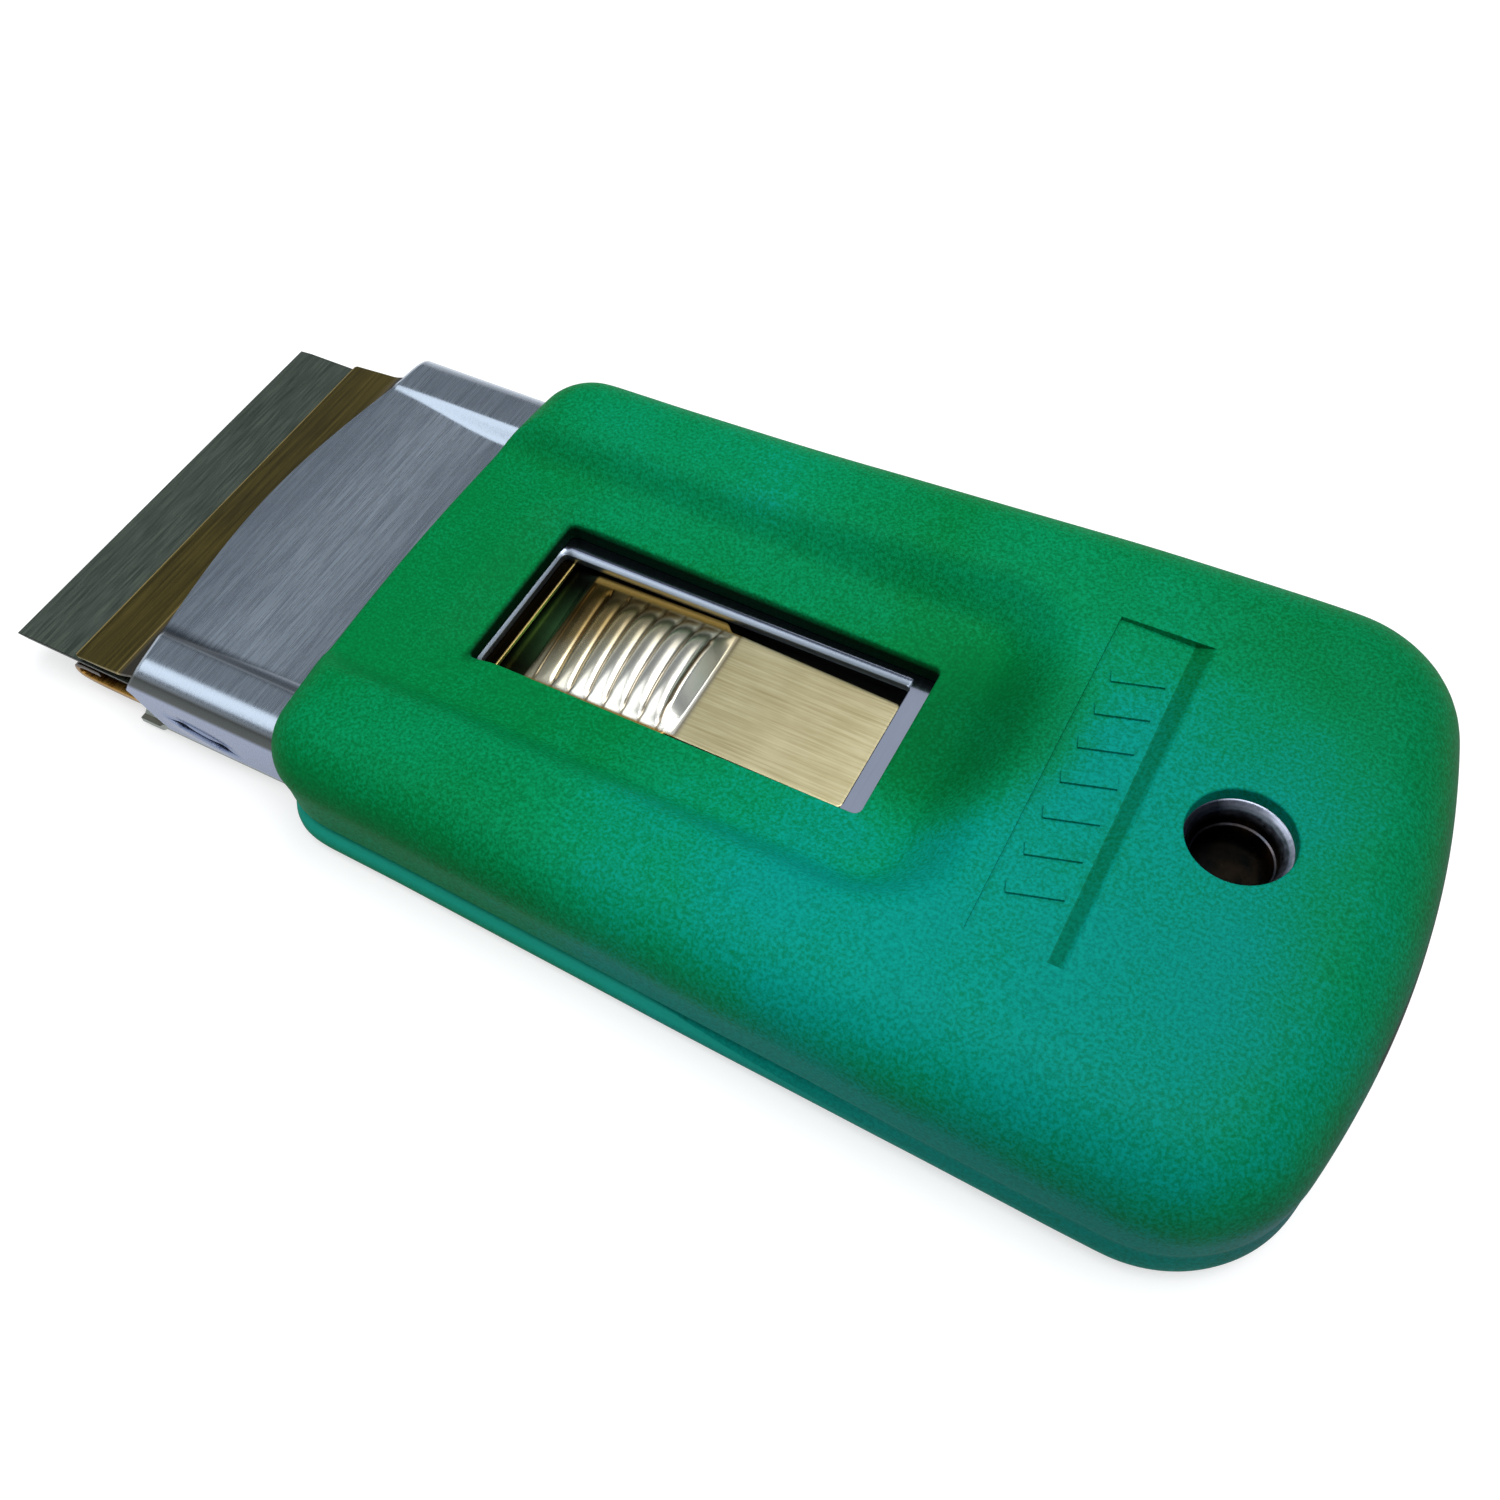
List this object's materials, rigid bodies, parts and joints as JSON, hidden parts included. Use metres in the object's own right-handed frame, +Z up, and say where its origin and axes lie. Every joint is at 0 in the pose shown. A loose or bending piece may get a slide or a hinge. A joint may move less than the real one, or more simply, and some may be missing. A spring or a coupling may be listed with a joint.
{
  "type": "retractable window scraper",
  "caption": "Hand scraper with a single-edge blade on a sliding carrier in a steel channel, worked by a ribbed thumb plate in the recess of a rubber grip with a hang hole.",
  "frame": {"origin": "centre of the footprint on the face that the tool lies on", "axes": "+X from the cutting edge to the butt, +Y across the tool, +Z up out of the thumb recess"},
  "size_m": [0.1082, 0.0514, 0.0136],
  "materials": {
    "grip_rubber": "moulded rubber, satin with a fine even grain",
    "shell_steel": "stamped sheet, brushed across the tool",
    "eyelet_nickel": "nickel-plated, rolled edge",
    "carrier_brass": "brass-plated stamping, darkened on the upper lip",
    "rivet_steel": "plain steel rivet",
    "thumb_brass": "pale brass plate, polished on the ribs and brushed lengthwise on the tail",
    "blade_steel": "dark oiled carbon steel with a ground edge",
    "spine_tinplate": "folded tinplate"
  },
  "bodies": {
    "handle": {"grip_sleeve": "grip_rubber", "housing_top": "shell_steel", "housing_bottom": "shell_steel", "hang_eyelet": "eyelet_nickel"},
    "carrier": {"carrier_base": "carrier_brass", "clamp_plate": "carrier_brass", "carrier_rivet_near": "rivet_steel", "carrier_rivet_far": "rivet_steel"},
    "thumb": {"thumb_plate": "thumb_brass"},
    "blade": {"blade": "blade_steel", "blade_spine": "spine_tinplate"}
  },
  "joints": [
    {"name": "slider_travel", "type": "slide", "parent": "handle", "child": "carrier", "axis": [1, 0, 0], "range_m": [-0.0034, 0.0145]},
    {"name": "thumb_press", "type": "hinge", "parent": "carrier", "child": "thumb", "pos_m": [-0.0249, 0, 0.0053], "axis": [0, 1, 0], "range_deg": [0, 1.5], "stiffness_Nm_per_rad": 7},
    {"name": "blade_removal", "type": "slide", "parent": "carrier", "child": "blade", "axis": [-1, 0, 0], "range_m": [0, 0.022]}
  ]
}
